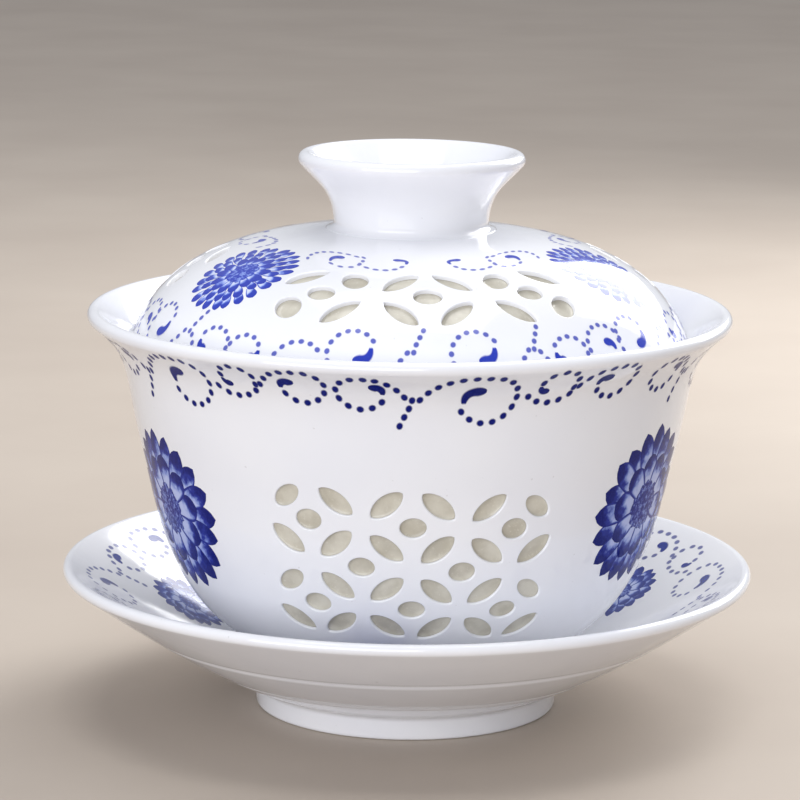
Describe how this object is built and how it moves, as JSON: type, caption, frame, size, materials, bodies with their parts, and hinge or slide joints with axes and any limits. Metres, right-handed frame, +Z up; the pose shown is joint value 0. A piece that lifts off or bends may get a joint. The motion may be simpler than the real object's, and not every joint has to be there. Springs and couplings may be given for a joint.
{
  "type": "gaiwan",
  "caption": "Porcelain gaiwan: flared tea bowl with glaze-filled piercings, domed lid with hollow flared knob, and a dished saucer with a foot ring.",
  "frame": {"origin": "centre of the saucer's foot ring, on the table", "axes": "+Z up along the axis of saucer, bowl and lid; -Y towards the front window panel"},
  "size_m": [0.11, 0.11, 0.0891],
  "materials": {
    "porcelain": "high gloss white porcelain with cobalt blue decoration under the glaze",
    "clear_glaze": "translucent glossy glaze"
  },
  "bodies": {
    "saucer": {"saucer": "porcelain"},
    "bowl": {"bowl": "porcelain", "bowl_panes_front": "clear_glaze", "bowl_panes_right": "clear_glaze", "bowl_panes_left": "clear_glaze"},
    "lid": {"lid": "porcelain", "lid_knob": "porcelain", "lid_panes_front": "clear_glaze", "lid_panes_right": "clear_glaze", "lid_panes_left": "clear_glaze"}
  },
  "joints": [
    {"name": "bowl_lift", "type": "slide", "parent": "saucer", "child": "bowl", "axis": [0, 0, 1], "range_m": [0, 0.03]},
    {"name": "lid_lift", "type": "slide", "parent": "bowl", "child": "lid", "axis": [0, 0, 1], "range_m": [0, 0.03]}
  ]
}
